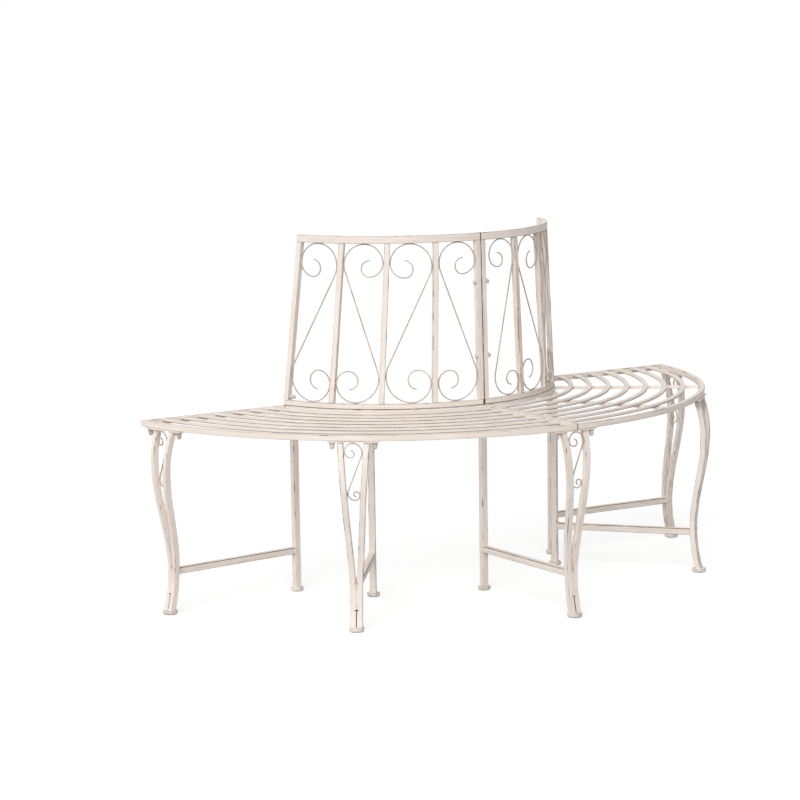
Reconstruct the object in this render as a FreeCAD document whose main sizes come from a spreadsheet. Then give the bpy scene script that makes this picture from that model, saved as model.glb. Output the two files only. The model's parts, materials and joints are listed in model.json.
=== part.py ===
import FreeCAD, Part
import Sketcher
import math
import os

# Half-round tree bench of welded square steel tube, in millimetres.
# X runs along the straight back edge, the tree stands on the +Y side, Z is up.
# The origin is on the ground under the middle of the bench.
# Curved pieces are drawn about the tree's axis, which lies behind the back edge. Only the
# top rail has a centre of its own, a little in front of it.

doc = FreeCAD.newDocument("TreeBench")

SIZES = (
    ("seat_width", 1587.5, "straight back edge, from rim corner to rim corner"),
    ("seat_depth", 692.15, "back edge to the front of the outer rim"),
    ("total_height", 889.0, "ground to the top of the top rail"),
    ("seat_height", 465.0, "ground to the top of the seat"),
    ("back_clear_width", 711.2, "between the two end posts at the top rail"),
    ("tube", 13.7, "side of the square tube of the seat and backrest"),
    ("top_rail_height", 18.5, "top rail's tube, tall; it is as deep as the others"),
    ("seam", 0.6, "gap between the two halves"),
    ("weld_gap", 0.2, "clearance where a bar meets a curved face"),
    ("ring_radius", 417.0, "outer face of the seat's inner ring"),
    ("slat_count", 7, "slats between ring and rim"),
    ("slat_width", 12.0, "flat strip of a slat, across"),
    ("slat_thickness", 6.0, "flat strip of a slat, thick"),
    ("support_count", 2, "bars under the slats of each half"),
    ("support_bar", 7.6, "side of the square bars under the slats"),
    ("back_foot_radius", 415.5, "outer face of the bottom rail"),
    ("back_foot_setback", 8.0, "end of the bottom rail in front of the back edge"),
    ("back_foot_seam", 5.6, "gap between the two bottom rails"),
    ("spacer_inset", 0.5, "block between the bottom rails, inside their faces"),
    ("back_top_setback", 36.4, "end of the top rail in front of the back edge"),
    ("back_top_forward", 14.0, "centre of the top rail's arc in front of the tree's axis"),
    ("end_bay_share", 0.262, "first bay's share of a half backrest"),
    ("scroll_wire", 3.0, "side of the scrolls' square wire"),
    ("scroll_clearance", 0.3, "scroll to post or rail"),
    ("scroll_set_out", 2.5, "scroll in front of the posts' centre line"),
    ("spanner_room_low", 26.0, "right half's last scroll to the joint post, at the foot"),
    ("spanner_room_high", 11.0, "right half's last scroll to the joint post, at the head"),
    ("high_curl_first_share", 0.53, "upper curl's first arc, radius as a share of the curl's width"),
    ("high_curl_second_share", 0.47, "upper curl's second arc"),
    ("high_curl_third_share", 0.35, "upper curl's third arc"),
    ("high_curl_fourth_share", 0.2, "upper curl's fourth arc"),
    ("high_curl_tip_share", 0.22, "upper curl's last arc"),
    ("low_curl_first_share", 0.57, "lower curl's first arc, radius as a share of the curl's width"),
    ("low_curl_second_share", 0.43, "lower curl's second arc"),
    ("low_curl_third_share", 0.29, "lower curl's third arc"),
    ("low_curl_fourth_share", 0.22, "lower curl's fourth arc"),
    ("low_curl_tip_share", 0.2, "lower curl's last arc"),
    ("leg_bar", 14.0, "side of an outer leg's two bars"),
    ("leg_spread", 31.0, "bar's centre from the leg's middle, under the plate"),
    ("leg_bar_gap", 0.7, "between the two bars below the ankle"),
    ("leg_merge_height", 100.0, "height where the two bars come together"),
    ("leg_merge_bend", 20.0, "half the length of the bend where they come together"),
    ("leg_stations", 13, "sections along a bar"),
    ("leg_bulge", 14.5, "knee's centre outside the rim's centre line"),
    ("knee_height", 355.0, "height of the knee"),
    ("leg_tuck", 15.5, "ankle's centre inside the rim's centre line"),
    ("ankle_height", 115.0, "height of the ankle"),
    ("leg_top_inset", 2.0, "top of the bars inside the rim's centre line"),
    ("leg_foot_inset", 1.5, "foot of the bars inside the rim's centre line"),
    ("leg_scroll_height", 137.0, "height of the scroll between the bars"),
    ("leg_scroll_set_out", 8.0, "scroll outside the rim's centre line"),
    ("plate_length", 120.0, "plate on top of an outer leg"),
    ("plate_width", 20.0, "plate on top of an outer leg"),
    ("plate_thickness", 3.0, "plate on top of an outer leg"),
    ("plate_bolt_spacing", 100.0, "between the plate's two studs"),
    ("inner_leg", 16.0, "side of the square inner leg"),
    ("inner_leg_radius", 417.0, "circle about the tree through the inner legs' centres"),
    ("stretcher", 16.0, "side of the square stretcher"),
    ("stretcher_height", 104.0, "ground to the stretcher's centre"),
    ("outer_foot_diameter", 36.0, "round foot of an outer leg"),
    ("inner_foot_diameter", 32.0, "round foot of an inner leg"),
    ("foot_height", 11.0, "round feet"),
    ("foot_flare", 2.0, "foot's radius grows by this towards the ground"),
    ("left_end_outer_share", 0.037, "outer leg's place along the rim, from the left corner"),
    ("left_end_inner_share", 0.0383, "inner leg's place along the ring, from its left corner"),
    ("left_mid_outer_share", 0.2603, "outer leg along the rim"),
    ("left_mid_inner_share", 0.2294, "inner leg along the ring"),
    ("middle_outer_share", 0.4975, "outer leg along the rim, beside the joint"),
    ("middle_inner_share", 0.4927, "inner leg along the ring, beside the joint"),
    ("right_mid_outer_share", 0.7677, "outer leg along the rim"),
    ("right_mid_inner_share", 0.8173, "inner leg along the ring"),
    ("right_end_outer_share", 0.9697, "outer leg along the rim"),
    ("right_end_inner_share", 0.9475, "inner leg along the ring"),
    ("stud_diameter", 6.0, "studs and bolts"),
    ("stud_clearance", 0.3, "round a stud or bolt"),
    ("nut_diameter", 14.0, "domed nut under a plate"),
    ("nut_height", 17.0, "domed nut under a plate"),
    ("cap_diameter", 13.0, "domed bolt head or nut on the backrest"),
    ("cap_height", 12.0, "domed bolt head or nut on the backrest"),
    ("flat_head_height", 3.0, "flat bolt head at an end post"),
    ("end_nut_height", 19.0, "domed nut at an end post"),
    ("panel_bolt_rise", 107.0, "lower bolt that joins the halves, above the bottom rail"),
    ("panel_bolt_drop", 102.5, "upper bolt that joins the halves, below the top rail"),
    ("end_bolt_rise", 9.0, "end post's bolt above the bottom rail"),
)

sizes = doc.addObject("Spreadsheet::Sheet", "Sizes")
for row, (name, value, note) in enumerate(SIZES, start=1):
    sizes.set("A%d" % row, name)
    sizes.set("B%d" % row, str(value))
    sizes.set("C%d" % row, note)
    sizes.setAlias("B%d" % row, name)

# What follows from the driving sizes: the rim's circle through both corners and the front.
DERIVED = (
    ("rim_radius", "(Sizes.seat_width^2 / 4 + Sizes.seat_depth^2) / (2 * Sizes.seat_depth)"),
    ("edge_offset", "rim_radius - Sizes.seat_depth"),
    ("rim_centre", "rim_radius - Sizes.tube / 2"),
    ("tree_axis", "(rim_centre + Sizes.leg_bulge + Sizes.leg_bar / 2 + edge_offset) / 2"),
    ("seat_under", "Sizes.seat_height - Sizes.tube"),
    ("slat_under", "Sizes.seat_height - Sizes.slat_thickness"),
    ("plate_under", "seat_under - Sizes.plate_thickness"),
    ("post_foot", "Sizes.seat_height + Sizes.tube"),
    ("post_head", "Sizes.total_height - Sizes.top_rail_height"),
    ("ring_centre", "Sizes.ring_radius - Sizes.tube / 2"),
    ("cross_run", "rim_radius - Sizes.tube - Sizes.ring_radius - 2 * Sizes.weld_gap"),
    ("slat_gap", "(rim_radius - Sizes.tube - Sizes.ring_radius"
                 " - Sizes.slat_count * Sizes.slat_width) / (Sizes.slat_count + 1)"),
    ("back_top_chord", "edge_offset + Sizes.back_top_setback - Sizes.back_top_forward"),
    ("back_top_radius", "sqrt((Sizes.back_clear_width / 2 + Sizes.tube)^2 + back_top_chord^2)"),
    ("back_top_axis", "tree_axis - Sizes.back_top_forward"),
)
derived = doc.addObject("Spreadsheet::Sheet", "Derived")
for row, (name, formula) in enumerate(DERIVED, start=1):
    derived.set("A%d" % row, name)
    derived.setAlias("B%d" % row, name)
    derived.set("B%d" % row, "=" + formula)
doc.recompute()


def size(name):
    return float(getattr(sizes, name))


def worked(name):
    return float(getattr(derived, name))


TUBE = size("tube")
HALF_TUBE = TUBE / 2
HALF_SEAM = size("seam") / 2
GAP = size("weld_gap")
RIM = worked("rim_radius")
RING = size("ring_radius")
EDGE = worked("edge_offset")
TREE = worked("tree_axis")
SIDES = (("left", -1), ("right", 1))
STRAIGHT_OUT = 90.0
UP = FreeCAD.Vector(0, 0, 1)

nodes = []


def keep(piece, label):
    # A finished sub-part: its label names its file.
    piece.Label = label
    nodes.append(piece)
    return piece


def group(label, pieces):
    # Separate solids that share one node.
    joined = doc.addObject("Part::Compound", "Group")
    joined.Links = pieces
    return keep(joined, label)


def about_tree(piece, height=None):
    # Moves a piece that is drawn about the tree's axis to its place on the bench.
    piece.setExpression("Placement.Base.y", "Derived.tree_axis")
    if height:
        piece.setExpression("Placement.Base.z", height)


def round_point(side, angle, radius):
    # A point about the tree's axis: angle 0 lies along the back edge, 90 straight out.
    turn = math.radians(angle)
    return FreeCAD.Vector(side * radius * math.cos(turn), -radius * math.sin(turn), 0)


def on_upright(side, radius, distance):
    # Where a circle about the tree meets a line at this distance from the middle plane.
    return FreeCAD.Vector(side * distance, -math.sqrt(radius ** 2 - distance ** 2), 0)


def on_edge_line(side, radius, offset):
    # Where a circle about the tree meets a line along X at this offset in front of the axis.
    return FreeCAD.Vector(side * math.sqrt(radius ** 2 - offset ** 2), -offset, 0)


# How pieces are drawn

def new_body():
    return doc.addObject("PartDesign::Body", "Piece")


def new_sketch(body, name):
    # A sketch on the body's own ground plane.
    sketch = body.newObject("Sketcher::SketchObject", name)
    for feature in body.Origin.OriginFeatures:
        if feature.Role == "XY_Plane":
            sketch.AttachmentSupport = [(feature, "")]
    sketch.MapMode = "FlatFace"
    return sketch


def pad(body, sketch, length, midplane=False):
    feature = body.newObject("PartDesign::Pad", "Pad")
    feature.Profile = sketch
    feature.Midplane = midplane
    feature.setExpression("Length", length)
    body.Tip = feature


def outline(sketch, points):
    # A closed outline of straight edges.
    for here, after in zip(points, points[1:] + points[:1]):
        sketch.addGeometry(Part.LineSegment(here, after), False)


def arc_about_tree(start, end, radius):
    middle = start + end
    middle.normalize()
    return Part.Arc(start, middle * radius, end)


def fix_radius(sketch, arc, radius, formula):
    # An arc about the tree's axis whose radius follows the sizes.
    sketch.addConstraint(Sketcher.Constraint("Coincident", arc, 3, -1, 1))
    row = sketch.addConstraint(Sketcher.Constraint("Radius", arc, radius))
    sketch.setExpression("Constraints[%d]" % row, formula)


def curved_strip(outer, inner, starts, ends, height, bottom):
    # A strip between two circles about the tree's axis. outer and inner are a radius and its
    # formula, starts and ends are an outer and an inner corner.
    body = new_body()
    sketch = new_sketch(body, "Plan")
    for row, (radius, formula) in enumerate((outer, inner)):
        sketch.addGeometry(arc_about_tree(starts[row], ends[row], radius), False)
        fix_radius(sketch, row, radius, formula)
    for corners in (starts, ends):
        sketch.addGeometry(Part.LineSegment(corners[0], corners[1]), False)
    pad(body, sketch, height)
    about_tree(body, bottom)
    return body


def square_sketch(body, side_name, place, turn, height):
    # A square about its own centre, at a place and turn in plan and at a height.
    sketch = new_sketch(body, "Section")
    half = size(side_name) / 2
    signs = ((-1, -1), (1, -1), (1, 1), (-1, 1))
    outline(sketch, [FreeCAD.Vector(x * half, y * half, 0) for x, y in signs])
    for edge in range(4):
        sketch.addConstraint(Sketcher.Constraint("Coincident", edge, 2, (edge + 1) % 4, 1))
    for level, edge in (("Horizontal", 0), ("Vertical", 1), ("Horizontal", 2), ("Vertical", 3)):
        sketch.addConstraint(Sketcher.Constraint(level, edge))
    sketch.addConstraint(Sketcher.Constraint("Symmetric", 0, 1, 2, 1, -1, 1))
    for direction, edge in (("DistanceX", 0), ("DistanceY", 1)):
        row = sketch.addConstraint(Sketcher.Constraint(direction, edge, 1, edge, 2, 2 * half))
        sketch.setExpression("Constraints[%d]" % row, "Sizes." + side_name)
    spot = FreeCAD.Vector(place.x, place.y, height)
    sketch.AttachmentOffset = FreeCAD.Placement(spot, FreeCAD.Rotation(UP, turn))
    return sketch


def loft(body, sketches, straight):
    feature = body.newObject("PartDesign::AdditiveLoft", "Loft")
    feature.Profile = sketches[0]
    feature.Sections = sketches[1:]
    feature.Ruled = straight
    body.Tip = feature
    return body


def box(length, width, height, corner):
    # A box with its sizes from the sheet.
    piece = doc.addObject("Part::Box", "Bar")
    piece.setExpression("Length", length)
    piece.setExpression("Width", width)
    piece.setExpression("Height", height)
    piece.Placement.Base = corner
    return piece


def cylinder(radius, height, spot):
    piece = doc.addObject("Part::Cylinder", "Rod")
    piece.setExpression("Radius", radius)
    piece.setExpression("Height", height)
    piece.Placement.Base = spot
    return piece


def cut(piece, tools):
    # A piece with holes.
    if len(tools) > 1:
        tool = doc.addObject("Part::Compound", "Holes")
        tool.Links = tools
    else:
        tool = tools[0]
    result = doc.addObject("Part::Cut", "Drilled")
    result.Base = piece
    result.Tool = tool
    return result


def move(piece, turn, spot):
    # Turns a piece about the vertical through its origin, then moves its origin to a spot.
    frame = FreeCAD.Placement(spot, FreeCAD.Rotation(UP, turn))
    piece.Placement = frame * piece.Placement
    return piece


# Seat: outer rim, inner ring, end bars, joint bars, support bars and slats

def seat_curve(side, radius, formula, start_outer, start_inner):
    # A curved bar of the seat, mitred to the end bar and square at the middle joint.
    inner = radius - TUBE
    ends = (on_upright(side, radius, HALF_SEAM), on_upright(side, inner, HALF_SEAM))
    return curved_strip((radius, formula), (inner, formula + " - Sizes.tube"),
                        (start_outer, start_inner), ends, "Sizes.tube", "Derived.seat_under")


def seat_frame(name, side):
    rim_corner = on_edge_line(side, RIM, EDGE)
    rim_mitre = on_edge_line(side, RIM - TUBE, EDGE + TUBE)
    ring_mitre = on_edge_line(side, RING, EDGE + TUBE)
    ring_corner = on_edge_line(side, RING - TUBE, EDGE)
    rim = seat_curve(side, RIM, "Derived.rim_radius", rim_corner, rim_mitre)
    keep(rim, "seat_outer_rim_" + name)
    ring = seat_curve(side, RING, "Sizes.ring_radius", ring_mitre, ring_corner)
    keep(ring, "seat_inner_ring_" + name)
    bar = new_body()
    sketch = new_sketch(bar, "Plan")
    outline(sketch, [rim_corner, rim_mitre, ring_mitre, ring_corner])
    pad(bar, sketch, "Sizes.tube")
    about_tree(bar, "Derived.seat_under")
    keep(bar, "seat_end_bar_" + name)


def cross_bar(turn, near_side, width, bottom):
    # A bar from the ring straight out to the rim.
    bar = box("Derived.cross_run", width, width, FreeCAD.Vector(RING + GAP, near_side, bottom))
    return move(bar, turn, FreeCAD.Vector(0, TREE, 0))


def outward_turn(side, angle):
    # The direction of a point about the tree, as a turn from the X axis.
    point = round_point(side, angle, 1.0)
    return math.degrees(math.atan2(point.y, point.x))


def seat_bars(name, side):
    near_side = HALF_SEAM if side > 0 else -HALF_SEAM - TUBE
    joint = cross_bar(-STRAIGHT_OUT, near_side, "Sizes.tube", worked("seat_under"))
    keep(joint, "seat_joint_bar_" + name)
    corner_angle = math.degrees(math.asin(EDGE / RIM))
    bars = []
    parts = int(size("support_count")) + 1
    for step in range(1, parts):
        angle = corner_angle + (STRAIGHT_OUT - corner_angle) * step / parts
        bottom = worked("slat_under") - size("support_bar")
        bars.append(cross_bar(outward_turn(side, angle), -size("support_bar") / 2,
                              "Sizes.support_bar", bottom))
    group("seat_support_bars_" + name, bars)


def seat_slats(name, side):
    slats = []
    for row in range(1, int(size("slat_count")) + 1):
        outer = RING + row * (worked("slat_gap") + size("slat_width"))
        inner = outer - size("slat_width")
        formula = "Sizes.ring_radius + %d * (Derived.slat_gap + Sizes.slat_width)" % row
        starts = [on_edge_line(side, radius, EDGE + TUBE) for radius in (outer, inner)]
        ends = [on_upright(side, radius, HALF_SEAM + TUBE) for radius in (outer, inner)]
        slats.append(curved_strip((outer, formula), (inner, formula + " - Sizes.slat_width"),
                                  starts, ends, "Sizes.slat_thickness", "Derived.slat_under"))
    group("seat_slats_" + name, slats)


# Backrest: two rails on each half, posts that lean and fan, scrolls and bolts

BACK_FOOT = size("back_foot_radius")
BACK_TOP = worked("back_top_radius")
FOOT_ANGLE = math.degrees(math.asin((EDGE + size("back_foot_setback")) / BACK_FOOT))
TOP_ANGLE = math.degrees(math.asin(worked("back_top_chord") / BACK_TOP))
TOP_CENTRE = FreeCAD.Vector(0, -size("back_top_forward"), 0)


def back_rail(side, radius, formula, angle, half_gap, height, bottom):
    inner = radius - TUBE
    starts = (round_point(side, angle, radius), round_point(side, angle, inner))
    ends = (on_upright(side, radius, half_gap), on_upright(side, inner, half_gap))
    return curved_strip((radius, formula), (inner, formula + " - Sizes.tube"),
                        starts, ends, height, bottom)


def post_end(side, share, radius, end_angle):
    # One end of a post: its centre and turn. share runs from 0 at the end to 1 at the joint.
    middle = radius - HALF_TUBE
    if share == 1:
        centre = FreeCAD.Vector(side * (HALF_SEAM + HALF_TUBE), -middle, 0)
        return centre, -STRAIGHT_OUT
    inset = math.degrees(math.asin(HALF_TUBE / middle)) if share == 0 else 0
    angle = end_angle + inset + (STRAIGHT_OUT - end_angle) * share
    return round_point(side, angle, middle), outward_turn(side, angle)


def post_ends(side, share):
    # The rails' arcs have their centres a little apart, so a post's head is moved forward.
    foot = post_end(side, share, BACK_FOOT, FOOT_ANGLE)
    head, turn = post_end(side, share, BACK_TOP, TOP_ANGLE)
    return foot, (head + TOP_CENTRE, turn)


def post(side, share):
    body = new_body()
    foot, head = post_ends(side, share)
    low = square_sketch(body, "tube", foot[0], foot[1], worked("post_foot"))
    low.setExpression("AttachmentOffset.Base.z", "Derived.post_foot")
    high = square_sketch(body, "tube", head[0], head[1], worked("post_head"))
    high.setExpression("AttachmentOffset.Base.z", "Derived.post_head")
    loft(body, [low, high], True)
    about_tree(body)
    return body


def post_centre(side, share, height):
    # The middle of a post at a height, in the bench's own frame.
    foot, head = post_ends(side, share)
    rise = (height - worked("post_foot")) / (worked("post_head") - worked("post_foot"))
    spot = foot[0] + (head[0] - foot[0]) * rise
    return FreeCAD.Vector(spot.x, spot.y + TREE, height)


def lying_rod(piece, turn, spot):
    # Lays an upright round piece along a level direction and moves its origin to a spot.
    direction = FreeCAD.Rotation(UP, turn) * FreeCAD.Rotation(FreeCAD.Vector(0, 1, 0), 90)
    piece.Placement = FreeCAD.Placement(spot, direction)
    return piece


def bolt_hole(spot, turn):
    # A hole right through one post, along a level direction.
    rod = cylinder("Sizes.stud_diameter / 2 + Sizes.stud_clearance", "3 * Sizes.tube", spot)
    shift = FreeCAD.Rotation(UP, turn).multVec(FreeCAD.Vector(-1.5 * TUBE, 0, 0))
    return lying_rod(rod, turn, spot + shift)


def domed(radius, base_height):
    # A short cylinder with a half ball on top.
    base = cylinder(radius, base_height, FreeCAD.Vector())
    dome = doc.addObject("Part::Sphere", "Dome")
    dome.setExpression("Radius", radius)
    dome.Angle1 = 0
    dome.setExpression("Placement.Base.z", base_height)
    joined = doc.addObject("Part::Fuse", "Domed")
    joined.Base = base
    joined.Tool = dome
    return joined


def cap(height):
    return domed("Sizes.cap_diameter / 2", height + " - Sizes.cap_diameter / 2")


def flat_head():
    return cylinder("Sizes.cap_diameter / 2", "Sizes.flat_head_height", FreeCAD.Vector())


def bolt_with(head, grip):
    # A head with its shank below it, long enough to enter the nut.
    shank = cylinder("Sizes.stud_diameter / 2", grip + " + Sizes.cap_height / 2", FreeCAD.Vector())
    shank.setExpression("Placement.Base.z", "-(%s + Sizes.cap_height / 2)" % grip)
    bolt = doc.addObject("Part::Fuse", "Bolt")
    bolt.Base = head
    bolt.Tool = shank
    return bolt


def domed_nut(height):
    # A domed nut with a blind hole for the shank.
    hole = cylinder("Sizes.stud_diameter / 2 + Sizes.stud_clearance / 2",
                    "Sizes.cap_height / 2 + Sizes.stud_clearance", FreeCAD.Vector())
    return cut(cap(height), [hole])


def post_share(row):
    # Where a half's posts stand, from 0 at its end to 1 at the joint.
    first = size("end_bay_share")
    return (0, first, 0.5, 0.75, 1)[row]


def back_rails(name, side):
    bottom = back_rail(side, BACK_FOOT, "Sizes.back_foot_radius", FOOT_ANGLE,
                       size("back_foot_seam") / 2, "Sizes.tube", "Sizes.seat_height")
    keep(bottom, "back_bottom_rail_" + name)
    top = back_rail(side, BACK_TOP, "Derived.back_top_radius", TOP_ANGLE,
                    HALF_SEAM, "Sizes.top_rail_height", "Derived.post_head")
    top.setExpression("Placement.Base.y", "Derived.back_top_axis")
    keep(top, "back_top_rail_" + name)


PANEL_BOLTS = [worked("post_foot") + size("panel_bolt_rise"),
               worked("post_head") - size("panel_bolt_drop")]
END_BOLT = worked("post_foot") + size("end_bolt_rise")


def along_turn(side):
    # The level direction from the end post towards the joint, at the end post's foot.
    return outward_turn(side, FOOT_ANGLE) + side * -STRAIGHT_OUT


def back_posts(name, side):
    holes = [bolt_hole(post_centre(side, 1, height), 0) for height in PANEL_BOLTS]
    keep(cut(post(side, 1), holes), "back_joint_post_" + name)
    hole = bolt_hole(post_centre(side, 0, END_BOLT), along_turn(side))
    keep(cut(post(side, 0), [hole]), "back_end_post_" + name)
    group("back_mid_posts_" + name, [post(side, post_share(row)) for row in (1, 2, 3)])


def rail_spacer():
    # A dark block that fills the gap between the two bottom rails.
    spacer = box("Sizes.back_foot_seam - 2 * Sizes.weld_gap", "Sizes.tube - 2 * Sizes.spacer_inset",
                 "Sizes.tube - 2 * Sizes.spacer_inset", FreeCAD.Vector())
    reach = BACK_FOOT - HALF_TUBE
    inset = size("spacer_inset")
    spacer.Placement.Base = FreeCAD.Vector(GAP - size("back_foot_seam") / 2,
                                           TREE - reach - HALF_TUBE + inset,
                                           size("seat_height") + inset)
    return spacer


def back_bolts():
    # Two bolts through both joint posts, and one through the foot of each end post.
    bolts = []
    nuts = []
    for height in PANEL_BOLTS:
        middle = post_centre(1, 1, height)
        reach = FreeCAD.Vector(HALF_SEAM + TUBE, 0, 0)
        centre = FreeCAD.Vector(0, middle.y, height)
        bolt = bolt_with(cap("Sizes.cap_height"), "2 * Sizes.tube + Sizes.seam")
        bolts.append(lying_rod(bolt, 180, centre - reach))
        nut = domed_nut("Sizes.cap_height")
        nuts.append(lying_rod(nut, 0, centre + reach))
    group("panel_bolts", bolts)
    group("panel_nuts", nuts)
    bolts = []
    nuts = []
    for name, side in SIDES:
        centre = post_centre(side, 0, END_BOLT)
        turn = along_turn(side)
        reach = FreeCAD.Rotation(UP, turn).multVec(FreeCAD.Vector(HALF_TUBE + GAP, 0, 0))
        bolt = bolt_with(flat_head(), "Sizes.tube + 2 * Sizes.weld_gap")
        bolts.append(lying_rod(bolt, turn + 180, centre - reach))
        nut = domed_nut("Sizes.end_nut_height")
        nuts.append(lying_rod(nut, turn, centre + reach))
    group("end_post_bolts", bolts)
    group("end_post_nuts", nuts)


# Scrolls: an S of arcs whose two curls fill the space between two bars

CURL_ARCS = ("first", "second", "third", "fourth", "tip")


def polar(centre, radius, angle):
    turn = math.radians(angle)
    return centre + FreeCAD.Vector(math.cos(turn), math.sin(turn), 0) * radius


def curl_arcs(centre, radii, start, corner):
    # The arcs of one curl from the S's middle to its tip: centre, radius, from and to angle.
    # Each further quarter turn has its own radius and starts where the last one ends.
    arcs = []
    for radius, after in zip(radii, radii[1:] + [0.0]):
        arcs.append((centre, radius, start, corner))
        centre = polar(centre, radius - after, corner)
        start = corner
        corner = corner - 90.0
    return arcs


def add_arc(sketch, arc, offset, flip):
    centre, radius, start, corner = arc
    points = [polar(centre, radius + offset, angle) for angle in (start, (start + corner) / 2, corner)]
    sketch.addGeometry(Part.Arc(*[FreeCAD.Vector(flip * p.x, p.y, 0) for p in points]), False)


def add_line(sketch, here, there, flip):
    ends = [FreeCAD.Vector(flip * p.x, p.y, 0) for p in (here, there)]
    sketch.addGeometry(Part.LineSegment(*ends), False)


def scroll(low_half, high_half, height, flip):
    # An S of square wire. It stands on the X axis between two sides that lean: their half
    # widths at the bottom and the top are given. flip is -1 for the mirrored S.
    half_wire = size("scroll_wire") / 2
    margin = half_wire + size("scroll_clearance")

    def curl_width(level):
        return 2 * (low_half + (high_half - low_half) * level / height - margin)

    def curl_radii(end, width):
        return [size(end + "_curl_" + word + "_share") * width for word in CURL_ARCS]

    high_width = curl_width(height - margin - curl_radii("high", curl_width(height))[0])
    low_width = curl_width(margin + curl_radii("low", curl_width(0))[0])
    high = curl_radii("high", high_width)
    low = curl_radii("low", low_width)
    high_centre = FreeCAD.Vector(high[0] - high_width / 2, height - margin - high[0], 0)
    low_centre = FreeCAD.Vector(low_width / 2 - low[0], margin + low[0], 0)
    between = low_centre - high_centre
    heading = math.atan2(between.y, between.x)
    slant = math.degrees(heading + math.acos(-(high[0] + low[0]) / between.Length))
    curls = (curl_arcs(high_centre, high, 180.0 + slant, 90.0),
             curl_arcs(low_centre, low, slant, -90.0))
    body = new_body()
    sketch = new_sketch(body, "Outline")
    for arcs in curls:
        for arc in arcs:
            add_arc(sketch, arc, half_wire, flip)
            add_arc(sketch, arc, -half_wire, flip)
        centre, radius, start, corner = arcs[-1]
        add_line(sketch, polar(centre, radius + half_wire, corner),
                 polar(centre, radius - half_wire, corner), flip)
    for sign in (1, -1):
        add_line(sketch, polar(high_centre, high[0] + sign * half_wire, 180.0 + slant),
                 polar(low_centre, low[0] - sign * half_wire, slant), flip)
    pad(body, sketch, "Sizes.scroll_wire", True)
    return body


def level_unit(vector):
    flat = FreeCAD.Vector(vector.x, vector.y, 0)
    flat.normalize()
    return flat


def bay_scroll(side, row):
    # The scroll between two neighbouring posts, in the leaning plane just outside them.
    # The one on the right of the joint leaves room for a spanner on the nuts.
    feet, heads = zip(*[post_ends(side, post_share(step)) for step in (row, row + 1)])
    beside_nuts = side > 0 and post_share(row + 1) == 1
    middles = []
    spans = []
    for ends, height, room in ((feet, worked("post_foot"), size("spanner_room_low")),
                               (heads, worked("post_head"), size("spanner_room_high"))):
        span = ends[1][0] - ends[0][0]
        if beside_nuts:
            span = span - level_unit(span) * room
        middle = ends[0][0] + span * 0.5
        middle = middle + level_unit(middle) * size("scroll_set_out")
        middles.append(FreeCAD.Vector(middle.x, middle.y + TREE, height))
        spans.append(span)
    fan = math.radians(abs(feet[1][1] - feet[0][1])) / 2
    low_half, high_half = [span.Length / 2 - HALF_TUBE / math.cos(fan) for span in spans]
    rise = middles[1] - middles[0]
    flip = -1 if row % 2 == 0 else 1
    body = scroll(low_half, high_half, rise.Length, flip)
    across = spans[0] + spans[1]
    turn = FreeCAD.Rotation(across, rise, across.cross(rise), "YXZ")
    body.Placement = FreeCAD.Placement(middles[0], turn)
    return body


# Legs: five frames, each an outer leg of two bars, an inner leg and a stretcher

def knee_offset(height):
    # How far the outer leg's bars stand outside the rim's centre line at a height.
    knee, ankle = size("knee_height"), size("ankle_height")
    out, tuck = size("leg_bulge"), size("leg_tuck")
    if height >= knee:
        share = (height - knee) / (worked("plate_under") - knee)
        return out - (out + size("leg_top_inset")) * share ** 2
    if height >= ankle:
        share = (knee - height) / (knee - ankle)
        return (out - tuck) / 2 + (out + tuck) / 2 * math.cos(math.pi * share)
    share = (ankle - height) / (ankle - size("foot_height"))
    return -tuck + (tuck - size("leg_foot_inset")) * share ** 2


def bar_spread(height):
    # How far a bar's centre stands beside the leg's middle at a height.
    closed = (size("leg_bar") + size("leg_bar_gap")) / 2
    merge = size("leg_merge_height")
    slope = (size("leg_spread") - closed) / (worked("plate_under") - merge)
    bend = size("leg_merge_bend")
    if height < merge - bend:
        return closed
    if height < merge + bend:
        return closed + slope * (height - merge + bend) ** 2 / (4 * bend)
    return closed + slope * (height - merge)


def leg_bar(side):
    body = new_body()
    count = int(size("leg_stations"))
    foot, top = size("foot_height"), worked("plate_under")
    sections = []
    for step in range(count):
        height = foot + (top - foot) * step / (count - 1)
        spot = FreeCAD.Vector(knee_offset(height), side * bar_spread(height), 0)
        sections.append(square_sketch(body, "leg_bar", spot, 0, height))
    return loft(body, sections, False)


def leg_plate():
    plate = box("Sizes.plate_width", "Sizes.plate_length", "Sizes.plate_thickness",
                FreeCAD.Vector(-size("plate_width") / 2, -size("plate_length") / 2, worked("plate_under")))
    holes = []
    for sign in (-1, 1):
        spot = FreeCAD.Vector(0, sign * size("plate_bolt_spacing") / 2,
                              worked("plate_under") - size("plate_thickness"))
        holes.append(cylinder("Sizes.stud_diameter / 2 + Sizes.stud_clearance",
                              "3 * Sizes.plate_thickness", spot))
    return cut(plate, holes)


def plate_nut(sign):
    # A domed nut under the plate, with its stud up to the rim.
    nut = domed("Sizes.nut_diameter / 2", "Sizes.nut_height - Sizes.nut_diameter / 2")
    over = FreeCAD.Rotation(FreeCAD.Vector(1, 0, 0), 180)
    spot = FreeCAD.Vector(0, sign * size("plate_bolt_spacing") / 2, worked("plate_under"))
    nut.Placement = FreeCAD.Placement(spot, over)
    stud = cylinder("Sizes.stud_diameter / 2", "Sizes.plate_thickness", spot)
    joined = doc.addObject("Part::Fuse", "Nut")
    joined.Base = nut
    joined.Tool = stud
    return joined


def foot(diameter):
    piece = doc.addObject("Part::Cone", "Foot")
    piece.setExpression("Radius1", "Sizes.%s / 2" % diameter)
    piece.setExpression("Radius2", "Sizes.%s / 2 - Sizes.foot_flare" % diameter)
    piece.setExpression("Height", "Sizes.foot_height")
    return piece


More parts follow.
